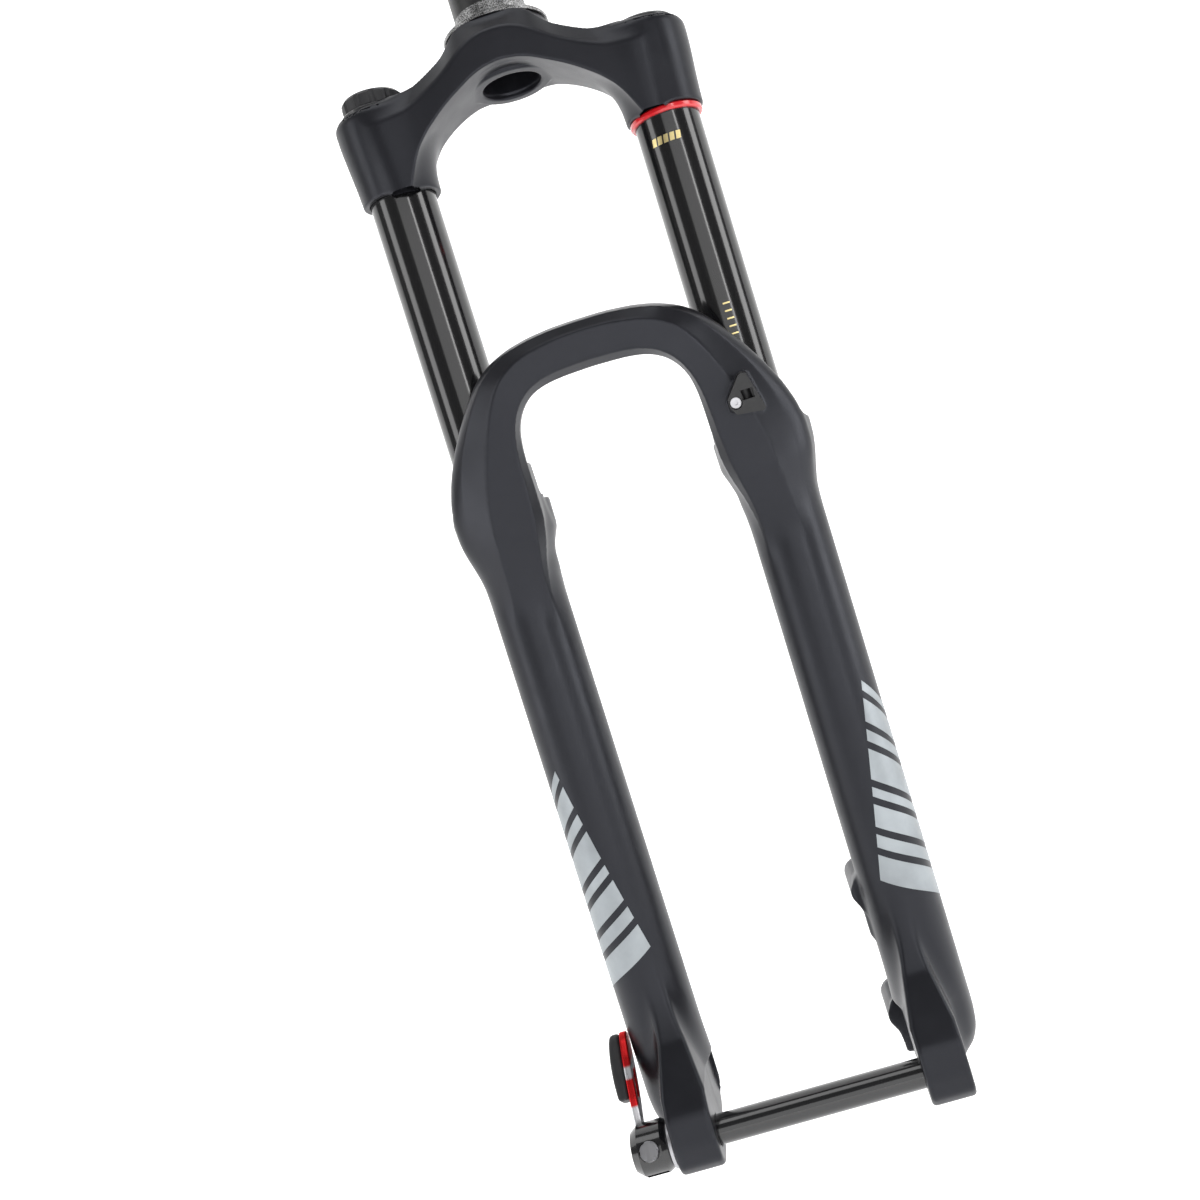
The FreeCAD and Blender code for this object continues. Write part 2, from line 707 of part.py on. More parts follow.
def axle_shaft():
    """Through-axle with a smaller threaded tip."""
    profile = [
        (head_x, 0), (head_x, axle_r), (seat_x - 18, axle_r), (seat_x - 17, axle_r - 0.3),
        (seat_x - 1, axle_r - 0.3), (seat_x, axle_r - 1.3), (seat_x, 0),
    ]
    body = turned_x(axle_y, axle_z, profile)
    return body.cut(cross_rod(seat_x - 12, seat_x + 1, axle_y, axle_z, 3.0))


def axle_washer():
    x1 = -(seat_x + head_gap / 3)
    ring = cross_rod(x1 - washer_h, x1, axle_y, axle_z, head_r - 0.6)
    return ring.cut(cross_rod(x1 - washer_h - 1, x1 + 1, axle_y, axle_z, axle_r + run_clearance))


def pin_point():
    return V(pin_x, axle_y, axle_z - lever_pin_drop)


def cam_head():
    """Slotted head that holds the lever's pin."""
    x1 = head_x
    x0 = x1 - head_length
    profile = [(x1, 0), (x1, head_r - 2.0), (x1 - 3.5, head_r), (x0 + 4.0, head_r), (x0, head_r - 3.0),
               (x0, 0)]
    body = turned_x(axle_y, axle_z, profile)
    slot = box(x0 - 5, x1 - 3.6, axle_y - lever_slot / 2, axle_y + lever_slot / 2, axle_z - 30, axle_z + 30)
    body = body.cut(slot)
    pin = pin_point()
    body = body.cut(Part.makeCylinder(lever_pin_r, 60, pin - V(0, 30, 0), BACK))
    flat = Part.makeCylinder(5.4, 10, pin - V(0, head_r + 8.0, 0), BACK)
    return lever_frame(body.cut(flat))


def cam_pin():
    """Pin across the head with a castellated nut facing forward."""
    pin = pin_point()
    body = Part.makeCylinder(lever_pin_r, 2 * head_r - 5, pin - V(0, head_r - 1, 0), BACK)
    nut = Part.makeCylinder(4.9, 2.6, pin - V(0, head_r + 0.6, 0), BACK)
    for k in range(6):
        a = math.pi / 3 * k
        spot = pin + V(4.9 * math.cos(a), -(head_r + 1.6), 4.9 * math.sin(a))
        nut = nut.cut(Part.makeCylinder(0.9, 2.2, spot, BACK))
    return lever_frame(body.fuse(nut))


def lever():
    """Lever arm: an eye in the head's slot, then a curved plate up beside the leg."""
    pin = pin_point()
    half = lever_slot / 2 - 0.3
    eye = Part.makeCylinder(5.6, 2 * half, pin - V(0, half, 0), BACK)
    x_in = -lever_inner_x
    x_out = x_in - lever_plate
    root = box(x_out, pin.x + 1.5, axle_y - half, axle_y + half, pin.z - 1.5, pin.z + 4.0)
    neck = box(x_out, x_in, axle_y - half, axle_y + half, pin.z - 1.5, axle_z + 20)
    side = [(-half, 17), (-6.2, 26), (-6.8, 44), (-5.6, 56), (-3.0, 60), (0, lever_length), (3.0, 60),
            (5.6, 56), (6.8, 44), (6.2, 26), (half, 17)]
    points = [V(x_out, axle_y + y, axle_z + z) for y, z in side]
    blade = slab(Part.makePolygon(points + [points[0]]), V(lever_plate, 0, 0))
    body = fuse([eye, root, neck, blade])
    return lever_frame(body.cut(Part.makeCylinder(lever_pin_r + run_clearance, 60, pin - V(0, 30, 0), BACK)))


def lever_paddle():
    """Moulded grip on the outside of the lever's upper half."""
    x1 = -lever_inner_x - lever_plate
    side = [(-6.0, paddle_start), (-6.6, 44), (-5.2, 56), (-2.6, 60), (2.6, 60), (5.2, 56), (6.6, 44),
            (6.0, paddle_start)]
    points = [V(x1 - paddle_thick, axle_y + y, axle_z + z) for y, z in side]
    return lever_frame(slab(Part.makePolygon(points + [points[0]]), V(paddle_thick, 0, 0)))


# ------------------------------------------------------------------ write every piece

save("crown", crown())
save("steerer", steerer())
save("stanchion_air", stanchion(1))
save("stanchion_damper", stanchion(-1))
save("air_top_cap", air_top_cap())
save("air_cap_seal", cap_seal(1))
save("air_volume_spacer", volume_spacer())
save("air_valve_body", valve_body())
save("valve_core_pin", valve_core_pin())
save("air_valve_cap", air_valve_cap())
save("air_seal_head", seal_head(1))
save("air_head_clip", head_clip(1))
save("damper_top_cap", top_cap(-1, spindle_r + run_clearance))
save("damper_cap_seal", cap_seal(-1))
save("damper_tube", damper_tube())
save("compression_valve", compression_valve())
save("damper_bladder", bladder())
save("damper_seal_head", seal_head(-1))
save("damper_head_clip", head_clip(-1))
save("compression_knob", compression_knob())
save("compression_spindle", compression_spindle())
save("travel_ring", travel_ring())

save("lower_casting", lower_casting())
for label, side in (("air", 1), ("damper", -1)):
    save("bushing_upper_" + label, bushing(side, leg_top_z - upper_bushing_drop))
    save("bushing_lower_" + label, bushing(side, stanchion_bottom_z + lower_bushing_rise))
    save("foam_ring_" + label, foam_ring(side))
    save("dust_wiper_" + label, wiper(side))
    save("wiper_spring_" + label, wiper_spring(side))
    save("foot_bolt_" + label, foot_bolt(side))
    save("crush_washer_" + label, crush_washer(side))
save("air_shaft", air_shaft())
save("air_piston", piston(1, air_shaft_top_z, air_piston_r()))
save("air_piston_seal", piston_ring(1, air_shaft_top_z, air_piston_r()))
save("bottom_out_bumper", bumper())
save("damper_rod", damper_rod())
save("damper_piston", piston(-1, damper_rod_top_z, tube_bore_r - run_clearance))
save("damper_glide_ring", piston_ring(-1, damper_rod_top_z, tube_bore_r - run_clearance))
save("rebound_rod", rebound_rod())
save("rebound_knob", rebound_knob())
save("hose_guide", hose_guide())
save("guide_screw", guide_screw())

save("axle_washer", axle_washer())
save("axle_shaft", axle_shaft())
save("axle_cam_head", cam_head())
save("cam_pin", cam_pin())
save("axle_lever", lever())
save("lever_paddle", lever_paddle())
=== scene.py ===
import json
import math

import bmesh
import bpy
import numpy as np
from mathutils import Matrix, Vector


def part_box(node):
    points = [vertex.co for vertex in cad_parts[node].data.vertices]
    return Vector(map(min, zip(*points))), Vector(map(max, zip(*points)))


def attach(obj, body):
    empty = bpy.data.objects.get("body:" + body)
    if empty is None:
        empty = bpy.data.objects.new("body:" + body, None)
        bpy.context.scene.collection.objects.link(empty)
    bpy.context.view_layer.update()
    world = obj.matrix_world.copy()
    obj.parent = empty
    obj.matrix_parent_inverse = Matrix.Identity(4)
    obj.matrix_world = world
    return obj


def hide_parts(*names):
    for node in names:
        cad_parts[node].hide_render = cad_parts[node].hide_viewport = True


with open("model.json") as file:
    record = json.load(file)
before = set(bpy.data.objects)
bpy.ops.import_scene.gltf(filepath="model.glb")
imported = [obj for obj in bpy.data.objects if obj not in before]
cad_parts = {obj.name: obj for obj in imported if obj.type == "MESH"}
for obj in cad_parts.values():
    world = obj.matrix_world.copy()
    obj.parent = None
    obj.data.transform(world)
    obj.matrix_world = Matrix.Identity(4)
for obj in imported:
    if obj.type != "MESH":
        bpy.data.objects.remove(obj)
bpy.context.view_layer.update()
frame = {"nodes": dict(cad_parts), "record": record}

MM = 0.001


def span(node):
    """Lowest and highest corner of a CAD node, in millimetres."""
    low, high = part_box(node)
    return np.array(low) / MM, np.array(high) / MM


# ---- places, read from the frame, in millimetres ----
tube_low, tube_high = span("stanchion_air")
LEG_X = (tube_low[0] + tube_high[0]) / 2
LEG_Y = (tube_low[1] + tube_high[1]) / 2
TUBE_R = (tube_high[0] - tube_low[0]) / 2
axle_low, axle_high = span("axle_shaft")
AXLE_Y = (axle_low[1] + axle_high[1]) / 2
AXLE_Z = (axle_low[2] + axle_high[2]) / 2
AXLE_R = (axle_high[2] - axle_low[2]) / 2
crown_low, crown_high = span("crown")
CROWN_TOP = crown_high[2]
SOCKET_LOW = crown_low[2]
BOSS_R = crown_high[1]
cap_low, cap_high = span("damper_top_cap")
CAP_R = (cap_high[0] - cap_low[0]) / 2
SOCKET_TOP = cap_high[2] - 2.2
casting_low, casting_high = span("lower_casting")
HUB_X = 55.0
LUG_X = axle_high[0]
LEG_TOP = -243.0
LEG_BOTTOM = -596.0
LEG_R = 20.4
BORE_R = 18.6
TOE_Z = casting_low[2]
POST_FACE_Y = casting_high[1]
POST_ZS = (-574.0, -499.8)
GUIDE_LOW, GUIDE_HIGH = span("hose_guide")
ARCH_LEAN = math.radians(11.8)
ARCH_Y = -58.0
ARCH_Z = -167.2


# ------------------------------------------------------------------ camera

CAMERA_PLACE = (0.0437, -0.6182, -0.2672)
CAMERA_HEADING = 2.95
CAMERA_PITCH = -3.3
CAMERA_ROLL = -17.15
CAMERA_SENSOR = 36.0
CAMERA_LENS = 34.07
CAMERA_SHIFT = (-0.0706, -0.0254)


def make_camera():
    """Camera low in front of the fork, rolled so that the legs lean across the frame."""
    turn = Matrix.Rotation(math.radians(CAMERA_HEADING), 4, "Z")
    turn = turn @ Matrix.Rotation(math.radians(90.0 + CAMERA_PITCH), 4, "X")
    turn = turn @ Matrix.Rotation(math.radians(CAMERA_ROLL), 4, "Z")
    data = bpy.data.cameras.new("camera")
    data.sensor_width = CAMERA_SENSOR
    data.lens = CAMERA_LENS
    data.shift_x, data.shift_y = CAMERA_SHIFT
    data.clip_start = 0.01
    camera = bpy.data.objects.new("camera", data)
    camera.matrix_world = Matrix.Translation(CAMERA_PLACE) @ turn
    bpy.context.scene.collection.objects.link(camera)
    bpy.context.scene.camera = camera


make_camera()


# ------------------------------------------------------------------ shapes as distance fields

def smooth_min(a, b, k):
    h = np.clip(0.5 + 0.5 * (b - a) / k, 0, 1)
    return b * (1 - h) + a * h - k * h * (1 - h)


def smooth_max(a, b, k):
    return -smooth_min(-a, -b, k)


def blurred(values, width):
    """Values averaged with a bell of that width, in samples, ends held."""
    reach = int(3 * width) + 1
    bell = np.exp(-0.5 * (np.arange(-reach, reach + 1) / width) ** 2)
    padded = np.pad(values, reach, mode="edge")
    return np.convolve(padded, bell / bell.sum(), mode="valid")


def profile(points, blur):
    """Smooth function of one number through (input, output) pairs, softened over blur millimetres."""
    points = sorted(points)
    xs = np.arange(points[0][0] - 10, points[-1][0] + 10, 0.5)
    ys = blurred(np.interp(xs, [p[0] for p in points], [p[1] for p in points]), blur / 0.5)
    return lambda v: np.interp(v, xs, ys)


def even_profile(points, blur):
    """A profile of abs(x), smooth across the middle."""
    return profile([(-x, v) for x, v in points if x > 0] + list(points), blur)


def fair(points, blur, closed=False):
    """Points resampled every millimetre and softened."""
    p = np.array(points, float)
    if closed:
        p = np.vstack([p, p[:1]])
    steps = np.hypot(*np.diff(p, axis=0).T)
    s = np.concatenate([[0], np.cumsum(steps)])
    t = np.arange(0, s[-1], 1.0)
    out = np.stack([np.interp(t, s, p[:, 0]), np.interp(t, s, p[:, 1])], 1)
    if blur:
        out = np.stack([blurred(out[:, 0], blur), blurred(out[:, 1], blur)], 1)
    return out


class Outline:
    """Signed distance to a closed outline in a plane, sampled on a grid; negative inside."""

    def __init__(self, points, step=0.7, margin=30):
        p = np.array(points, float)
        self.low = p.min(0) - margin
        self.step = step
        count = np.ceil((p.max(0) + margin - self.low) / step).astype(int) + 1
        u = self.low[0] + step * np.arange(count[0])[:, None]
        v = self.low[1] + step * np.arange(count[1])[None, :]
        best = np.full((count[0], count[1]), 1e9)
        inside = np.zeros((count[0], count[1]), bool)
        for a, b in zip(p, np.roll(p, -1, 0)):
            d = b - a
            t = np.clip(((u - a[0]) * d[0] + (v - a[1]) * d[1]) / max(d @ d, 1e-9), 0, 1)
            best = np.minimum(best, (u - a[0] - t * d[0]) ** 2 + (v - a[1] - t * d[1]) ** 2)
            if a[1] != b[1]:
                spans = (a[1] <= v) != (b[1] <= v)
                inside ^= spans & (u < a[0] + (v - a[1]) * d[0] / d[1])
        self.values = np.where(inside, -1, 1) * np.sqrt(best)

    def at(self, u, v):
        n = self.values.shape
        i = np.clip((u - self.low[0]) / self.step, 0, n[0] - 1.001)
        j = np.clip((v - self.low[1]) / self.step, 0, n[1] - 1.001)
        i0 = i.astype(int)
        j0 = j.astype(int)
        a = i - i0
        b = j - j0
        f = self.values
        low = f[i0, j0] * (1 - a) + f[i0 + 1, j0] * a
        high = f[i0, j0 + 1] * (1 - a) + f[i0 + 1, j0 + 1] * a
        return low * (1 - b) + high * b


def box_distance(x, y, z, low, high):
    """Distance to an axis-aligned box, exact outside along each side."""
    dx = np.maximum(low[0] - x, x - high[0])
    dy = np.maximum(low[1] - y, y - high[1])
    dz = np.maximum(low[2] - z, z - high[2])
    return np.maximum(np.maximum(dx, dy), dz)


def surface(name, shape, axes, settle=3):
    """Mesh of the zero surface of shape(x, y, z) over a grid, by surface nets, in metres.

    Vertices are moved onto the surface along its gradient, and carry the gradient as normals."""
    xs, ys, zs = axes
    values = np.empty((len(xs), len(ys), len(zs)), np.float32)
    for k in range(0, len(zs), 24):
        part = zs[k:k + 24]
        values[:, :, k:k + 24] = shape(xs[:, None, None], ys[None, :, None], part[None, None, :])
    inside = values < 0
    cells = (len(xs) - 1, len(ys) - 1, len(zs) - 1)
    total = np.zeros((4, cells[0] * cells[1] * cells[2]))
    quads = []
    for axis in range(3):
        first = [slice(None)] * 3
        second = [slice(None)] * 3
        first[axis] = slice(0, -1)
        second[axis] = slice(1, None)
        index = np.argwhere(inside[tuple(first)] != inside[tuple(second)])
        others = [a for a in range(3) if a != axis]
        keep = np.ones(len(index), bool)
        for a in others:
            keep &= (index[:, a] > 0) & (index[:, a] < cells[a])
        index = index[keep]
        ahead = index.copy()
        ahead[:, axis] += 1
        v0 = values[tuple(index.T)]
        v1 = values[tuple(ahead.T)]
        t = v0 / (v0 - v1)
        points = np.stack([xs[index[:, 0]], ys[index[:, 1]], zs[index[:, 2]]], 1)
        line = axes[axis]
        points[:, axis] += t * (line[index[:, axis] + 1] - line[index[:, axis]])
        corner = []
        for da, db in ((0, 0), (1, 0), (1, 1), (0, 1)):
            cell = index.copy()
            cell[:, others[0]] -= da
            cell[:, others[1]] -= db
            flat = (cell[:, 0] * cells[1] + cell[:, 1]) * cells[2] + cell[:, 2]
            corner.append(flat)
            for c in range(3):
                total[c] += np.bincount(flat, points[:, c], total.shape[1])
            total[3] += np.bincount(flat, minlength=total.shape[1])
        quad = np.stack(corner, 1)
        quads.append(quad)
    used = np.flatnonzero(total[3])
    number = np.zeros(total.shape[1], np.int64)
    number[used] = np.arange(len(used))
    co = (total[:3, used] / total[3, used]).T
    faces = number[np.concatenate(quads)]
    reach = 0.6 * min(float(np.diff(a).min()) for a in axes)
    for _ in range(settle):
        d, g = gradient(shape, co)
        move = np.clip(d, -reach, reach)[:, None] * g
        co = co - move
    _, normals = gradient(shape, co)
    a, b, c, d = (co[faces[:, k]] for k in range(4))
    facing = np.einsum("ij,ij->i", np.cross(c - a, d - b), normals[faces].sum(1))
    faces[facing < 0] = faces[facing < 0][:, ::-1]
    return new_mesh(name, co * MM, faces, normals)


def gradient(shape, co, h=0.35):
    """Value and unit gradient of a field at points."""
    x, y, z = co.T
    gx = shape(x + h, y, z) - shape(x - h, y, z)
    gy = shape(x, y + h, z) - shape(x, y - h, z)
    gz = shape(x, y, z + h) - shape(x, y, z - h)
    g = np.stack([gx, gy, gz], 1)
    size = np.maximum(np.linalg.norm(g, axis=1), 1e-9)
    return shape(x, y, z) / np.maximum(size / (2 * h), 0.3), g / size[:, None]


def new_mesh(name, co, faces, normals=None):
    data = bpy.data.meshes.new(name)
    data.vertices.add(len(co))
    data.vertices.foreach_set("co", np.asarray(co, np.float32).ravel())
    faces = np.asarray(faces)
    sides = faces.shape[1]
    data.loops.add(faces.size)
    data.loops.foreach_set("vertex_index", faces.astype(np.int32).ravel())
    data.polygons.add(len(faces))
    data.polygons.foreach_set("loop_start", np.arange(0, faces.size, sides, dtype=np.int32))
    data.update(calc_edges=True)
    data.validate()
    data.polygons.foreach_set("use_smooth", np.ones(len(data.polygons), bool))
    if normals is not None and len(normals) == len(data.vertices):
        data.normals_split_custom_set_from_vertices(normals.tolist())
    obj = bpy.data.objects.new(name, data)
    bpy.context.scene.collection.objects.link(obj)
    return obj


# ------------------------------------------------------------------ crown

crown_top_line = even_profile([(0, -2.4), (12, -2.5), (17.5, -3.4), (21, -6.0), (25, -10.6),
                               (29.2, -14.8), (35.6, -18.4), (42, -21.6),
                               (48.6, -24.4), (55, -26.6), (63, -27.8), (110, -28)], 1.6)
crown_front_top = even_profile([(0, -12.0), (5, -12.3), (10, -13.4), (15, -15.7), (20, -19.0),
                                (26, -23.6), (32, -28.0), (41, -33.6),
                                (50, -38.4), (56, -40.4), (65, -41.5), (110, -42)], 2.0)
crown_low_line = even_profile([(0, -28.0), (8, -28.9), (15, -31.0), (22, -34.6), (29, -38.2),
                               (36, -42.4), (46, -49.8), (53, -57), (58, -65),
                               (62, -74), (110, -120)], 2.0)
crown_front_line = even_profile([(0, -34.5), (22, -34.2), (45, -32.4), (60, -32.0), (73, -32.4),
                                 (85, -31), (96, -26)], 3.0)
crown_back_line = even_profile([(0, 27.0), (10, 25.4), (20, 20.5), (30, 13.5), (42, 8.6), (55, 9.0),
                                (73, 11.5), (96, 12)], 3.0)
socket_line = profile([(-90, 20.7), (-72, 20.8), (-60, 21.4), (-49, 22.3), (-38, 23.1), (-20, 23.1)], 4.0)


CREASE_Y = -34.5
BEVEL_DEPTH = 8.5
REAR_RISE = 5.0
STEERER_BORE_R = 15.5
FIT_GAP = 0.03


def slope_size(line, x):
    return np.sqrt(1 + ((line(x + 1) - line(x - 1)) / 2) ** 2)


def crown_shape(x, y, z):
    """Arms between two creases, a centre boss and two sockets, with all their bores."""
    back = np.clip((y - CREASE_Y) / BEVEL_DEPTH, 0, 1)
    top = crown_front_top(x) + (crown_top_line(x) - crown_front_top(x)) * back
    d_top = (z - top) / slope_size(crown_top_line, x) * 0.8
    rise = np.clip((y - CREASE_Y) / 45, 0, 1.4) * REAR_RISE
    d_low = (crown_low_line(x) + rise - z) / slope_size(crown_low_line, x)
    d_front = crown_front_line(x) - y
    d_back = y - crown_back_line(x)
    arms = smooth_max(smooth_max(d_top, d_low, 1.6), smooth_max(d_front, d_back, 2.0), 1.1)
    arms = smooth_max(arms, np.abs(x) - LEG_X + 2, 8.0)
    from_middle = np.hypot(x, y)
    boss = smooth_max(from_middle - BOSS_R, np.abs(z + 14.5) - 12.2, 1.6)
    body = smooth_min(arms, boss, 3.5)
    ring = smooth_max(np.abs(from_middle - 19.0) - 3.0, np.abs(z + 27.2) - 2.4, 1.2)
    body = smooth_min(body, ring, 1.0)
    from_leg = np.hypot(np.abs(x) - LEG_X, y - LEG_Y)
    socket = from_leg - socket_line(z)
    socket = smooth_max(socket, z - SOCKET_TOP, 5.0)
    socket = smooth_max(socket, SOCKET_LOW - z, 1.2)
    body = smooth_min(body, socket, 9.0)
    lip = np.hypot(from_leg - 21.6, z + 29.6) - 0.55
    body = smooth_max(body, -lip, 0.5)
    body = np.maximum(body, z - CROWN_TOP)
    bore = np.maximum(from_leg - TUBE_R - FIT_GAP, z)
    body = smooth_max(body, -bore, 0.5)
    recess = np.maximum(from_leg - CAP_R - FIT_GAP, -28.5 - z)
    body = smooth_max(body, -recess, 0.4)
    return smooth_max(body, STEERER_BORE_R - from_middle, 0.6)


# ------------------------------------------------------------------ lower casting

leg_outer_line = profile([(-640, 6), (-602, 9), (-596, 14.0), (-591, 17.2), (-585, 19.4), (-575, 20.4),
                          (-290, 20.4), (-278, 20.7),
                          (-269, 22.6), (-260, 25.0), (-252, 26.4), (-230, 26.8)], 2.5)
leg_inner_line = profile([(-640, 6), (-602, 9), (-596, 14.0), (-591, 17.2), (-585, 19.4), (-575, 20.4),
                          (-284, 20.2), (-272, 20.8),
                          (-265, 23.6), (-259, 26.4), (-230, 26.8)], 1.6)
arch_crest = [(0, 0), (14, -0.2), (28, -1.6), (40, -4.2), (51, -8.8), (60, -15.4), (67.5, -24),
              (75.2, -34.5), (82.8, -46.5), (89.6, -60),
              (94.2, -73), (95.6, -84), (94.6, -95), (91.0, -106), (87, -117), (84, -130), (82, -165)]
arch_mid = [(0, -0.8), (14, -1.0), (28, -2.6), (40, -5.4), (50, -10.6), (57, -16.5), (64.5, -26),
            (71, -36), (77, -47), (82, -59), (85.4, -71),
            (86.6, -83), (85.6, -95), (83.6, -107), (81, -118), (79, -132), (78, -165)]
arch_crease = [(0, -5.0), (15, -5.7), (30, -8.2), (39, -11.8), (46.5, -17), (52, -24), (57, -33),
               (61.8, -44), (66, -55), (70, -67),
               (73.4, -80), (75.2, -93), (75.2, -106), (74.5, -118), (74, -132), (74, -165)]
arch_inner = [(0, -24), (15, -24.5), (25, -25.6), (32, -27.8), (37.4, -31.2), (42, -36.5), (45.3, -43.5),
              (46.8, -53), (47.2, -64),
              (47.4, -76), (48, -90), (51, -103), (54.5, -116), (58, -132), (62, -165)]
arch_groove = [(0, -19.6), (15, -20.1), (25, -21.4), (32.5, -24.2), (38.6, -28.6), (43.6, -35),
               (47.2, -43.5), (49.2, -53), (50.2, -64),
               (51, -76), (52.4, -90), (55, -103), (58, -116), (61, -132), (66, -165)]


def band_outline(outer, inner):
    """Closed outline of the arch from its outer and inner right-hand halves."""
    upper = [(-x, z) for x, z in reversed(outer) if x > 0] + outer
    lower = [(-x, z) for x, z in reversed(inner) if x > 0] + inner
    return Outline(np.vstack([fair(upper, 3.0), fair(lower, 3.0)[::-1]]))


face_outline = band_outline(arch_crease, arch_groove)
mid_outline = band_outline(arch_mid, arch_inner)
crest_outline = band_outline(arch_crest, arch_inner)
lug_side = [(LEG_Y, AXLE_Z + 92), (-22.5, AXLE_Z + 88), (-29.2, AXLE_Z + 68), (-37, AXLE_Z + 48),
            (-49, AXLE_Z + 32), (-58.5, AXLE_Z + 18),
            (-61.4, AXLE_Z + 3), (-60.2, AXLE_Z - 8), (-56, TOE_Z + 2), (-51, TOE_Z), (-37, TOE_Z),
            (-20, LEG_BOTTOM + 1), (LEG_Y, LEG_BOTTOM + 8)]
lug_outline = Outline(fair(lug_side, 1.6, closed=True))


low_x, _, low_z = GUIDE_LOW
high_x, _, high_z = GUIDE_HIGH
pad_outline = Outline(fair([(low_x + 0.4, low_z + 4.2), (high_x - 1.2, low_z + 0.6),
                            (high_x, low_z + 3.6), (high_x - 4.0, high_z - 0.6),
                            (low_x + 9.0, high_z - 0.4), (low_x, low_z + 9.4)], 0.8, closed=True),
                      step=0.4, margin=12)


def mixed(a, b, t):
    return a + (b - a) * t


def casting_shape(x, y, z):
    """Two legs, the leaning arch in front of them, the axle lugs and the brake tabs."""
    ax = np.abs(x)
    side = ax - LEG_X
    ly = y - LEG_Y
    r = np.hypot(side, ly)
    inward = 0.5 - 0.5 * side / np.maximum(r, 1e-6)
    leg = r - mixed(leg_outer_line(z), leg_inner_line(z), inward)
    leg = smooth_max(leg, z - LEG_TOP, 1.6)
    leg = smooth_max(leg, LEG_BOTTOM - z, 4.0)

    v = y - ARCH_Y
    w = z - ARCH_Z
    depth = v * math.cos(ARCH_LEAN) + w * math.sin(ARCH_LEAN)
    along = w * math.cos(ARCH_LEAN) - v * math.sin(ARCH_LEAN)
    x_full = x + 0 * along
    face = face_outline.at(x_full, along)
    mid = mid_outline.at(x_full, along)
    crest = crest_outline.at(x_full, along)
    first = np.clip(depth / 6.5, 0, 1)
    second = np.clip((depth - 6.5) / 9.0, 0, 1)
    section = mixed(mixed(face, mid, first), crest, second * (2 - second))
    sink = 13.0 * np.clip((-262.0 - z) / 44.0, 0, 1) ** 1.5
    band = smooth_max(section + 0.45 * sink, sink - depth, 0.8)
    thick = 22.0 + 6.0 * np.clip((ax - 50) / 25, 0, 1)
    band = smooth_max(band, depth - thick, 5.0)
    clear_tube = np.minimum(26.0 - r, z - LEG_TOP + 0.5)
    band = smooth_max(band, clear_tube, 1.5)
    clear_crown = np.minimum(y + 36.5, z + 224)
    band = smooth_max(band, np.minimum(clear_crown, LEG_X - ax), 2.0)
    pad = np.maximum(pad_outline.at(x + 0 * z, z + 0 * x), np.maximum(-1.9 - depth, depth - 10.0))
    band = smooth_min(band, pad, 2.0)
    body = smooth_min(leg, band, 5.0 + 6.0 * np.clip((-250 - z) / 30, 0, 1))

    taper = np.clip((z - AXLE_Z - 26) / 60, 0, 1)
    inner_side = HUB_X + 13.0 * taper - ax
    outer_side = (ax - LUG_X + 11.0 * taper) / 1.02
    lug = smooth_max(lug_outline.at(y + 0 * x, z + 0 * x), np.maximum(inner_side, outer_side), 3.0)
    body = smooth_min(body, lug, 7.0)

    tabs = np.full(np.broadcast(x, y, z).shape, 1e3)
    for post_z in POST_ZS:
        stalk = smooth_max(np.hypot(x - HUB_X, z - post_z) - 8.0, y - POST_FACE_Y, 0.8)
        stalk = smooth_max(stalk, LEG_Y - y, 1.0)
        reach = (POST_FACE_Y - 5 - y) / (POST_FACE_Y - 5 - LEG_Y)
        low = post_z - 6.0 - 18.0 * np.clip(reach, 0, 1)
        web = smooth_max(np.abs(x - HUB_X - 1) - 4.5, np.maximum(low - z, z - post_z - 7.0), 2.0)
        web = smooth_max(web, np.maximum(y - POST_FACE_Y + 5, LEG_Y - y), 2.0)
        tabs = np.minimum(tabs, smooth_min(stalk, web, 4.0))
    body = smooth_min(body, tabs, 5.0)

    for post_z in POST_ZS:
        hole = np.maximum(np.hypot(x - HUB_X, z - post_z) - 2.5, POST_FACE_Y - 16 - y)
        body = smooth_max(body, -hole, 0.5)
    bore = np.maximum(r - BORE_R, -557 - z)
    seat = np.maximum(r - 22.5, LEG_TOP - 20 - z)
    foot = np.maximum(r - 13.0, -583 - z)
    body = np.maximum(body, -np.minimum(np.minimum(bore, seat), np.minimum(foot, r - 3.6)))
    hub = np.maximum(np.maximum(ax - HUB_X, y - (LEG_Y + 4)), z - (AXLE_Z + 25))
    body = smooth_max(body, -hub, 0.6)
    from_axle = np.hypot(y - AXLE_Y, z - AXLE_Z)
    body = smooth_max(body, -(from_axle - AXLE_R - 0.05), 0.5)
    head_seat = np.maximum(from_axle - 15.7, LUG_X - ax)
    return smooth_max(body, -head_seat, 1.0)


LEVER_LEAN = math.radians(37.0)
LEVER_X = -93.9
PIN_X = -90.9


def lever_upright(y, z):
    """Sideways and along distances in the lever's own upright frame, from the axle."""
    dy = y - AXLE_Y
    dz = z - AXLE_Z
    across = dy * math.cos(LEVER_LEAN) - dz * math.sin(LEVER_LEAN)
    along = dy * math.sin(LEVER_LEAN) + dz * math.cos(LEVER_LEAN)
    return across, along


arm_outline = Outline(fair([(-3.1, -2), (-3.1, 14), (-5.6, 24), (-6.6, 34), (-6.6, 46), (-5.4, 55),
                            (-2.8, 60.4), (2.8, 60.4), (5.4, 55),
                            (6.6, 46), (6.6, 34), (5.6, 24), (3.1, 14), (3.1, -2)], 1.2, closed=True),
                      step=0.4, margin=14)
grip_outline = Outline(fair([(-5.4, 25), (-6.4, 34), (-6.4, 46), (-5.0, 56), (-2.4, 60.2), (2.4, 60.2),
                             (5.0, 56), (6.4, 46), (6.4, 34),
                             (5.4, 25)], 1.6, closed=True), step=0.4, margin=14)


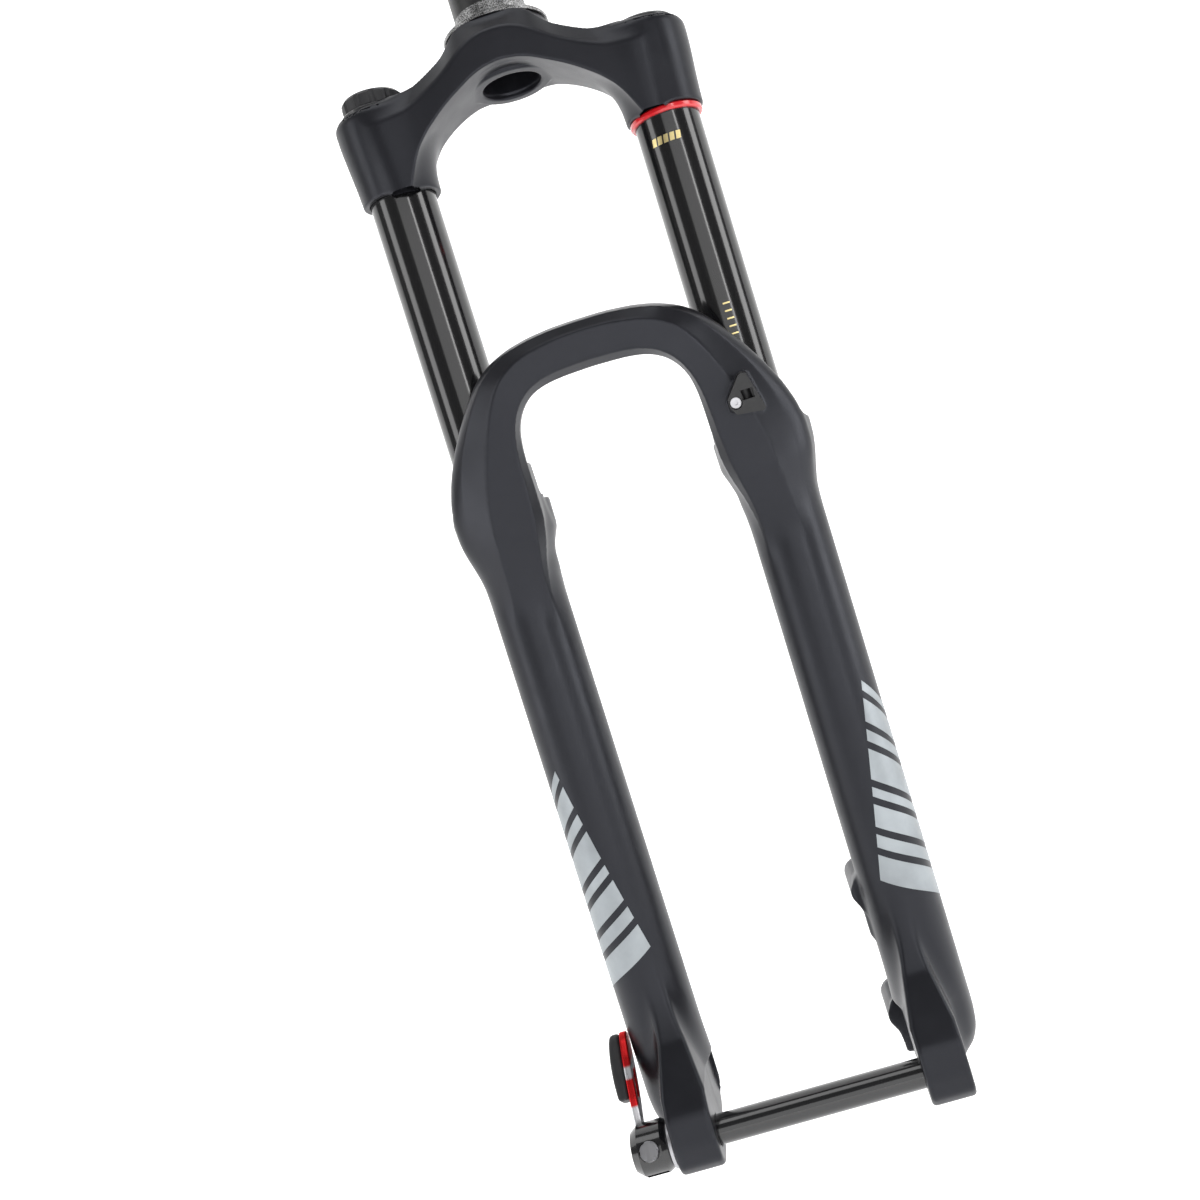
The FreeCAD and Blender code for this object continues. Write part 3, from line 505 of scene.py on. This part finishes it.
def lever_shape(x, y, z):
    """Eye on the pin, then a plate that widens upwards, with a long window in it."""
    across, up = lever_upright(y, z)
    across = across + 0 * x
    up = up + 0 * x
    x = x + 0 * up
    plate = smooth_max(arm_outline.at(across, up), np.abs(x - LEVER_X + 2.1) - 2.1, 1.0)
    eye = smooth_max(np.hypot(x - PIN_X, up + 3.0) - 5.5, np.abs(across) - 3.1, 0.8)
    root = box_distance(x, across, up, (LEVER_X - 4.2, -3.1, -4.5), (PIN_X + 1.5, 3.1, 1.0))
    body = smooth_min(smooth_min(plate, eye, 1.5), root, 1.5)
    groove = np.maximum(np.abs(across) - 2.2, np.abs(up - 30) - 14)
    groove = np.maximum(groove, LEVER_X - 0.7 - x)
    return smooth_max(body, -np.maximum(groove, -1.0), 0.5)


def grip_shape(x, y, z):
    """Rounded grip outside the plate, a little hollowed for the thumb."""
    across, up = lever_upright(y, z)
    across = across + 0 * x
    up = up + 0 * x
    x = x + 0 * up
    inner_face = LEVER_X - 4.25
    bulge = 7.0 - 1.2 * ((up - 42) / 18) ** 2
    return smooth_max(grip_outline.at(across, up), np.maximum(x - inner_face, inner_face - bulge - x),
                      2.4)


def stepped(*runs):
    """Grid line of (start, end, step) runs."""
    parts = [np.arange(a, b, s) for a, b, s in runs]
    return np.concatenate(parts + [[runs[-1][1]]])


crown = surface("crown_forging", crown_shape, (np.arange(-98, 98.5, 0.9), np.arange(-36.5, 31, 0.9),
                                               np.arange(-74, 0.5, 0.9)))
FINE = 1.05
casting_grid = (np.arange(-101, 102, FINE), np.arange(-64, 30.5, FINE),
                stepped((-604, -484, FINE), (-484, -300, 6.0), (-300, -161, FINE)))
casting = surface("casting_form", casting_shape, casting_grid)
lever_low, lever_high = span("axle_lever")
grip_low, grip_high = span("lever_paddle")


def grid_around(low, high, step, room=1.5):
    return [np.arange(a - room, b + room + step, step) for a, b in zip(low, high)]


lever = surface("lever_arm", lever_shape, grid_around(lever_low, lever_high, 0.55))
grip = surface("lever_grip", grip_shape, grid_around(grip_low, grip_high, 0.55))
for piece, node, body, slot in ((crown, "crown", "upper", "crown_black"),
                                (casting, "lower_casting", "lowers", "casting_black"),
                                (lever, "axle_lever", "lever", "lever_silver"),
                                (grip, "lever_paddle", "lever", "paddle_grey")):
    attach(piece, body)
    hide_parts(node)


# ------------------------------------------------------------------ materials

class Nodes:
    """Short way to build a node material."""

    def __init__(self, name):
        self.material = bpy.data.materials.new(name)
        self.material.use_nodes = True
        self.tree = self.material.node_tree
        self.shader = self.tree.nodes["Principled BSDF"]
        self.place = self.add("ShaderNodeTexCoord").outputs["Object"]

    def add(self, kind, **values):
        node = self.tree.nodes.new(kind)
        for key, value in values.items():
            if hasattr(node, key):
                setattr(node, key, value)
            else:
                node.inputs[key].default_value = value
        return node

    def link(self, a, b):
        self.tree.links.new(a, b)

    def scaled(self, x, y, z):
        mapping = self.add("ShaderNodeMapping")
        self.link(self.place, mapping.inputs["Vector"])
        mapping.inputs["Scale"].default_value = (x, y, z)
        return mapping.outputs["Vector"]

    def noise(self, scale, detail=3.0, rough=0.5, vector=None):
        node = self.add("ShaderNodeTexNoise")
        node.inputs["Scale"].default_value = scale
        node.inputs["Detail"].default_value = detail
        node.inputs["Roughness"].default_value = rough
        self.link(vector or self.place, node.inputs["Vector"])
        return node.outputs["Fac"]

    def add_math(self, operation, value, *others):
        node = self.add("ShaderNodeMath")
        node.operation = operation
        self.link(value, node.inputs[0])
        for k, other in enumerate(others):
            node.inputs[k + 1].default_value = other
        return node.outputs[0]

    def ramp(self, fac, *stops):
        node = self.add("ShaderNodeValToRGB")
        ramp = node.color_ramp
        while len(ramp.elements) < len(stops):
            ramp.elements.new(0.5)
        for element, (at, value) in zip(ramp.elements, stops):
            element.position = at
            colour = value if isinstance(value, tuple) else (value, value, value)
            element.color = (*colour, 1)
        self.link(fac, node.inputs["Fac"])
        return node.outputs["Color"]

    def bump(self, height, strength, distance, after=None):
        node = self.add("ShaderNodeBump")
        node.inputs["Strength"].default_value = strength
        node.inputs["Distance"].default_value = distance
        self.link(height, node.inputs["Height"])
        if after is not None:
            self.link(after, node.inputs["Normal"])
        return node.outputs["Normal"]

    def set(self, **values):
        names = {"metal": "Metallic", "rough": "Roughness", "coat": "Coat Weight",
                 "coat_rough": "Coat Roughness",
                 "spec": "Specular IOR Level", "tint": "Specular Tint", "sheen": "Sheen Weight",
                 "colour": "Base Color", "normal": "Normal"}
        for key, value in values.items():
            socket = self.shader.inputs[names[key]]
            if hasattr(value, "is_output"):
                self.link(value, socket)
            elif key in ("colour", "tint"):
                socket.default_value = (*value, 1)
            else:
                socket.default_value = value
        return self.material


def tinted(shade):
    """A cool near-black of that lightness."""
    return (shade * 0.96, shade * 0.96, shade * 1.2)


def satin_paint(name, low, high, rough, grain):
    """Satin black paint over a fine cast skin."""
    n = Nodes(name)
    cloud = n.noise(18, 4)
    fine = n.noise(grain, 2)
    n.set(colour=n.ramp(cloud, (0.3, tinted(low)), (0.7, tinted(high))),
          rough=n.ramp(n.noise(60, 5), (0.3, rough - 0.03), (0.7, rough + 0.04)), spec=0.36,
          tint=(0.86, 0.89, 1.0))
    skin = n.bump(fine, 0.10, 0.0002)
    return n.set(normal=n.bump(n.noise(220, 3), 0.05, 0.0004, skin))


def anodised(name, colour, rough, coat):
    """Smooth anodised tube with faint lines left by polishing."""
    n = Nodes(name)
    lines = n.noise(1.0, 3, vector=n.scaled(900, 900, 14))
    n.set(colour=n.ramp(n.noise(30, 3), (0.3, tuple(c * 0.8 for c in colour)), (0.7, colour)),
          rough=n.ramp(lines, (0.3, rough), (0.7, rough + 0.05)),
          coat=coat, coat_rough=0.04, spec=0.6)
    return n.set(normal=n.bump(lines, 0.006, 0.0001))


def turned_metal(name, colour, rough, axis_scale):
    """Bare metal with fine turning marks."""
    n = Nodes(name)
    rings = n.noise(1.0, 3, vector=n.scaled(*axis_scale))
    shade = n.ramp(n.noise(40, 4), (0.3, tuple(c * 0.85 for c in colour)), (0.75, colour))
    n.set(colour=shade, metal=1.0, rough=n.ramp(rings, (0.25, rough - 0.06), (0.75, rough + 0.08)))
    return n.set(normal=n.bump(rings, 0.12, 0.0001))


def moulded(name, colour, rough):
    """Moulded plastic or rubber with a fine grain."""
    n = Nodes(name)
    n.set(colour=n.ramp(n.noise(35, 3), (0.3, tuple(c * 0.8 for c in colour)), (0.7, colour)),
          rough=n.ramp(n.noise(300, 2), (0.3, rough - 0.05), (0.7, rough + 0.06)), spec=0.4)
    return n.set(normal=n.bump(n.noise(2400, 2), 0.15, 0.0002))


def gloss_paint(name, colour, rough):
    n = Nodes(name)
    n.set(colour=n.ramp(n.noise(50, 3), (0.3, tuple(c * 0.85 for c in colour)), (0.7, colour)),
          rough=n.ramp(n.noise(150, 2), (0.3, rough), (0.7, rough + 0.05)), coat=0.6, coat_rough=0.08)
    return n.set(normal=n.bump(n.noise(700, 2), 0.04, 0.0002))


def foil(name, colour):
    """Silver film with a soft metallic cloudiness."""
    n = Nodes(name)
    n.set(colour=n.ramp(n.noise(45, 4), (0.25, tuple(c * 0.72 for c in colour)), (0.75, colour)),
          metal=0.55,
          rough=n.ramp(n.noise(400, 2), (0.3, 0.34), (0.7, 0.44)))
    return n.set(normal=n.bump(n.noise(1800, 2), 0.05, 0.0002))


def steerer_finish(name):
    """Black tube above a bright, roughly turned band where the race sits."""
    n = Nodes(name)
    split = n.add("ShaderNodeSeparateXYZ")
    n.link(n.place, split.inputs["Vector"])
    band = n.add("ShaderNodeMapRange")
    n.link(split.outputs["Z"], band.inputs["Value"])
    band.inputs["From Min"].default_value = 0.0086
    band.inputs["From Max"].default_value = 0.0090
    specks = n.noise(2200, 3)
    bright = n.ramp(specks, (0.42, 0.05), (0.6, 0.55))
    dark = n.ramp(n.noise(40, 3), (0.3, 0.010), (0.7, 0.016))
    mix = n.add("ShaderNodeMix", data_type="RGBA")
    n.link(band.outputs["Result"], mix.inputs[0])
    n.link(bright, mix.inputs[6])
    n.link(dark, mix.inputs[7])
    n.set(colour=mix.outputs[2], metal=n.ramp(band.outputs["Result"], (0.0, 1.0), (1.0, 0.0)),
          rough=n.ramp(n.noise(90, 4), (0.3, 0.3), (0.7, 0.4)))
    return n.set(normal=n.bump(specks, 0.25, 0.0003))


def lever_finish(name):
    """Bare alloy with red anodised fields."""
    n = Nodes(name)
    marks = n.noise(1.0, 3, vector=n.scaled(2500, 120, 120))
    split = n.add("ShaderNodeSeparateXYZ")
    n.link(n.place, split.inputs["Vector"])
    red = n.ramp(n.add_math("MULTIPLY_ADD", split.outputs["Z"], 10.0, 6.05),
                 (0.38, (0.62, 0.62, 0.64)), (0.39, (0.55, 0.01, 0.012)), (0.50, (0.55, 0.01, 0.012)),
                 (0.51, (0.62, 0.62, 0.64)),
                 (0.55, (0.62, 0.62, 0.64)), (0.56, (0.55, 0.01, 0.012)))
    n.set(colour=red, metal=0.75, rough=n.ramp(marks, (0.25, 0.24), (0.75, 0.36)))
    return n.set(normal=n.bump(marks, 0.08, 0.0001))


def foam(name, colour):
    n = Nodes(name)
    cells = n.add("ShaderNodeTexVoronoi")
    cells.inputs["Scale"].default_value = 1400
    n.link(n.place, cells.inputs["Vector"])
    n.set(colour=n.ramp(cells.outputs["Distance"], (0.1, tuple(c * 0.4 for c in colour)), (0.6, colour)),
          rough=0.95, sheen=0.3)
    return n.set(normal=n.bump(cells.outputs["Distance"], 0.5, 0.0006))


MATERIALS = {
    "crown_black": satin_paint("crown_black", 0.006, 0.009, 0.36, 2600),
    "casting_black": satin_paint("casting_black", 0.006, 0.009, 0.34, 2200),
    "steerer_silver": steerer_finish("steerer_silver"),
    "stanchion_black": anodised("stanchion_black", (0.004, 0.004, 0.0045), 0.12, 0.3),
    "cap_black": anodised("cap_black", (0.02, 0.02, 0.022), 0.30, 0.2),
    "dial_red": gloss_paint("dial_red", (0.45, 0.012, 0.01), 0.25),
    "dial_black": moulded("dial_black", (0.022, 0.022, 0.024), 0.45),
    "seal_rubber": moulded("seal_rubber", (0.012, 0.012, 0.012), 0.55),
    "spacer_plastic": moulded("spacer_plastic", (0.5, 0.25, 0.03), 0.4),
    "valve_brass": turned_metal("valve_brass", (0.62, 0.45, 0.18), 0.3, (60, 60, 2500)),
    "machined_alloy": turned_metal("machined_alloy", (0.66, 0.66, 0.68), 0.28, (60, 60, 2500)),
    "spring_steel": turned_metal("spring_steel", (0.5, 0.5, 0.5), 0.3, (60, 60, 2500)),
    "ring_red": gloss_paint("ring_red", (0.62, 0.012, 0.018), 0.22),
    "bushing_bronze": turned_metal("bushing_bronze", (0.35, 0.26, 0.12), 0.45, (60, 60, 2500)),
    "foam_grey": foam("foam_grey", (0.25, 0.25, 0.25)),
    "axle_black": anodised("axle_black", (0.006, 0.006, 0.007), 0.12, 0.5),
    "bolt_black": turned_metal("bolt_black", (0.05, 0.05, 0.05), 0.4, (60, 60, 2500)),
    "nut_silver": turned_metal("nut_silver", (0.5, 0.5, 0.52), 0.36, (2500, 60, 60)),
    "lever_silver": lever_finish("lever_silver"),
    "paddle_grey": moulded("paddle_grey", (0.02, 0.02, 0.022), 0.5),
    "guide_black": moulded("guide_black", (0.014, 0.014, 0.015), 0.42),
    "decal_silver": foil("decal_silver", (0.36, 0.39, 0.41)),
    "mark_gold": turned_metal("mark_gold", (0.75, 0.62, 0.30), 0.35, (60, 60, 2500)),
}

for sub in frame["record"]["subparts"]:
    node = frame["nodes"][sub["node"]]
    node.data.materials.clear()
    node.data.materials.append(MATERIALS[sub["material_slot"]])
crown.data.materials.append(MATERIALS["crown_black"])
casting.data.materials.append(MATERIALS["casting_black"])
lever.data.materials.append(MATERIALS["lever_silver"])
grip.data.materials.append(MATERIALS["paddle_grey"])


# ------------------------------------------------------------------ marks on the legs and tubes

FILM_SINK = 0.15


def film_grid(corners, cells):
    """Angles and heights of the points of one four-sided field of a film."""
    (a0, z0), (a1, z1), (a2, z2), (a3, z3) = corners
    s = np.linspace(0, 1, cells[1] + 1)[:, None]
    t = np.linspace(0, 1, cells[0] + 1)[None, :]
    angle = (a0 * (1 - s) + a1 * s) * (1 - t) + (a3 * (1 - s) + a2 * s) * t
    height = (z0 * (1 - s) + z1 * s) * (1 - t) + (z3 * (1 - s) + z2 * s) * t
    return angle, height


def leg_film(name, side, quads, radius, shape=None, lift=0.12, body="lowers"):
    """Films wrapped round a leg. Angles run from the front, outwards, in degrees."""
    co = []
    faces = []
    for corners, cells in quads:
        angle, height = film_grid(corners, cells)
        rad = np.radians(angle)
        flat = np.stack([side * (LEG_X + radius * np.sin(rad)), LEG_Y - radius * np.cos(rad), height],
                        -1).reshape(-1, 3)
        out = np.stack([side * np.sin(rad), -np.cos(rad), 0 * rad], -1).reshape(-1, 3)
        if shape is not None:
            for _ in range(4):
                d = shape(*flat.T)
                flat = flat - np.clip(d, -1, 1)[:, None] * out
        top = flat + lift * out
        low = flat - FILM_SINK * out
        rows, cols = angle.shape
        start = sum(len(c) for c in co)
        co += [top, low]
        grid = start + np.arange(rows * cols).reshape(rows, cols)
        under = grid + rows * cols
        a, b, c, d = grid[:-1, :-1], grid[1:, :-1], grid[1:, 1:], grid[:-1, 1:]
        up = np.stack([a, b, c, d], -1).reshape(-1, 4)
        ua, ub, uc, ud = under[:-1, :-1], under[1:, :-1], under[1:, 1:], under[:-1, 1:]
        down = np.stack([ua, ud, uc, ub], -1).reshape(-1, 4)
        edge = np.concatenate([grid[:, 0], grid[-1, 1:], grid[-2::-1, -1], grid[0, -2:0:-1]])
        low_edge = edge + rows * cols
        rim = np.stack([edge, low_edge, np.roll(low_edge, -1), np.roll(edge, -1)], 1)
        block = np.vstack([up, down, rim])
        if side < 0:
            block = block[:, ::-1]
        faces.append(block)
    obj = new_mesh(name, np.vstack(co) * MM, np.vstack(faces))
    bm = bmesh.new()
    bm.from_mesh(obj.data)
    bmesh.ops.recalc_face_normals(bm, faces=bm.faces)
    bm.to_mesh(obj.data)
    bm.free()
    for polygon in obj.data.polygons:
        polygon.use_smooth = False
    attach(obj, body)
    return obj


STRIPE_HEIGHTS = (5.0, 12.0, 6.0, 16.0, 5.0, 12.0, 7.0, 14.0)
STRIPE_GAP = 4.0
STRIPE_TOP = -384.0
STRIPE_FALL = 26.0
STRIPE_END = 100.0
EDGE_TOP = -351
EDGE_TOP_X = 18.2
EDGE_SLOPE = 0.1973


def front_edge(z):
    """Angle of the stripes' front edge: it winds round the leg on the way down."""
    across = EDGE_TOP_X - (EDGE_TOP - z) * EDGE_SLOPE
    return math.degrees(math.asin(max(-0.95, min(0.95, across / LEG_R))))


def stripe(z, height):
    """One slanted bar from its front edge to its outer end, which lies lower."""
    far = z - STRIPE_FALL
    corners = ((front_edge(z), z), (STRIPE_END, far), (STRIPE_END, far - height),
               (front_edge(z - height), z - height))
    return corners, (6, 30)


stripes = []
stripe_z = STRIPE_TOP
for height in STRIPE_HEIGHTS:
    stripes.append(stripe(stripe_z, height))
    stripe_z -= height + STRIPE_GAP
for side, label in ((1, "air"), (-1, "damper")):
    film = leg_film("leg_stripes_" + label, side, stripes, LEG_R, casting_shape)
    film.data.materials.append(MATERIALS["decal_silver"])


MARK_COUNT = 5
MARK_TOP = -86.0
MARK_HEIGHT = 4.0
MARK_FIRST = -38.0
MARK_PITCH = 11.0
MARK_WIDTH = 8.0
MARK_SLANT = 2.0
TICK_TOP = -176.0
TICK_PITCH = 4.0
TICK_HEIGHT = 0.8
TICK_START = -2.0
TICK_END = 10.0
marks = []
for k in range(MARK_COUNT):
    start = MARK_FIRST + MARK_PITCH * k
    end = start + MARK_WIDTH
    foot = MARK_TOP - MARK_HEIGHT
    marks.append((((start, MARK_TOP), (end, MARK_TOP), (end - MARK_SLANT, foot), (start - MARK_SLANT, foot)),
                  (2, 4)))
for k in range(MARK_COUNT):
    top = TICK_TOP - TICK_PITCH * k
    foot = top - TICK_HEIGHT
    marks.append((((TICK_START, top), (TICK_END, top), (TICK_END, foot), (TICK_START, foot)), (2, 3)))
tube_marks = leg_film("tube_marks", 1, marks, TUBE_R, lift=0.10, body="upper")
tube_marks.data.materials.append(MATERIALS["mark_gold"])


# ------------------------------------------------------------------ floor, lights and sky

FLOOR_Z = -0.66
FLOOR_REACH = 14.0
WALL_Y = 1.9
WALL_TOP = 9.0
SWEEP_R = 0.9


def make_stage():
    """Pale floor that curves up into a wall behind."""
    sweep_y = WALL_Y - SWEEP_R
    path = [(-FLOOR_REACH, FLOOR_Z), (sweep_y, FLOOR_Z)]
    for a in np.linspace(0.1, math.pi / 2, 16):
        path.append((sweep_y + math.sin(a) * SWEEP_R, FLOOR_Z + SWEEP_R - math.cos(a) * SWEEP_R))
    path.append((WALL_Y, WALL_TOP))
    co = [(x, y, z) for y, z in path for x in (-FLOOR_REACH, FLOOR_REACH)]
    faces = [(2 * i, 2 * i + 1, 2 * i + 3, 2 * i + 2) for i in range(len(path) - 1)]
    floor = new_mesh("floor", co, faces)
    n = Nodes("floor_pale")
    n.set(colour=n.ramp(n.noise(3, 2), (0.3, 0.86), (0.7, 0.9)), rough=0.9, spec=0.1)
    n.shader.inputs["Emission Color"].default_value = (1, 1, 1, 1)
    n.shader.inputs["Emission Strength"].default_value = 0.75
    floor.data.materials.append(n.material)


def area_light(name, place, target, size, power):
    data = bpy.data.lights.new(name, "AREA")
    data.shape = "RECTANGLE"
    data.size, data.size_y = size
    data.energy = power
    lamp = bpy.data.objects.new(name, data)
    aim = (Vector(target) - Vector(place)).to_track_quat("-Z", "Y")
    lamp.matrix_world = Matrix.Translation(place) @ aim.to_matrix().to_4x4()
    bpy.context.scene.collection.objects.link(lamp)


make_stage()
area_light("front_softbox", (0.25, -1.9, -0.30), (0, 0, -0.3), (1.60, 1.8), 12)
area_light("band_softbox", (0.85, -1.6, -0.30), (0, 0, -0.3), (0.16, 1.8), 5)
area_light("left_softbox", (-1.4, -0.7, -0.2), (0, 0, -0.3), (0.5, 1.8), 8)
area_light("right_softbox", (1.5, -0.4, -0.2), (0, 0, -0.3), (0.5, 1.8), 12)
area_light("top_softbox", (0.0, -0.5, 1.3), (0, 0, -0.2), (1.2, 0.8), 6)

world = bpy.data.worlds.new("studio")
world.use_nodes = True
world.node_tree.nodes["Background"].inputs["Color"].default_value = (1, 1, 1, 1)
world.node_tree.nodes["Background"].inputs["Strength"].default_value = 0.20
bpy.context.scene.world = world
bpy.context.scene.view_settings.view_transform = "Standard"
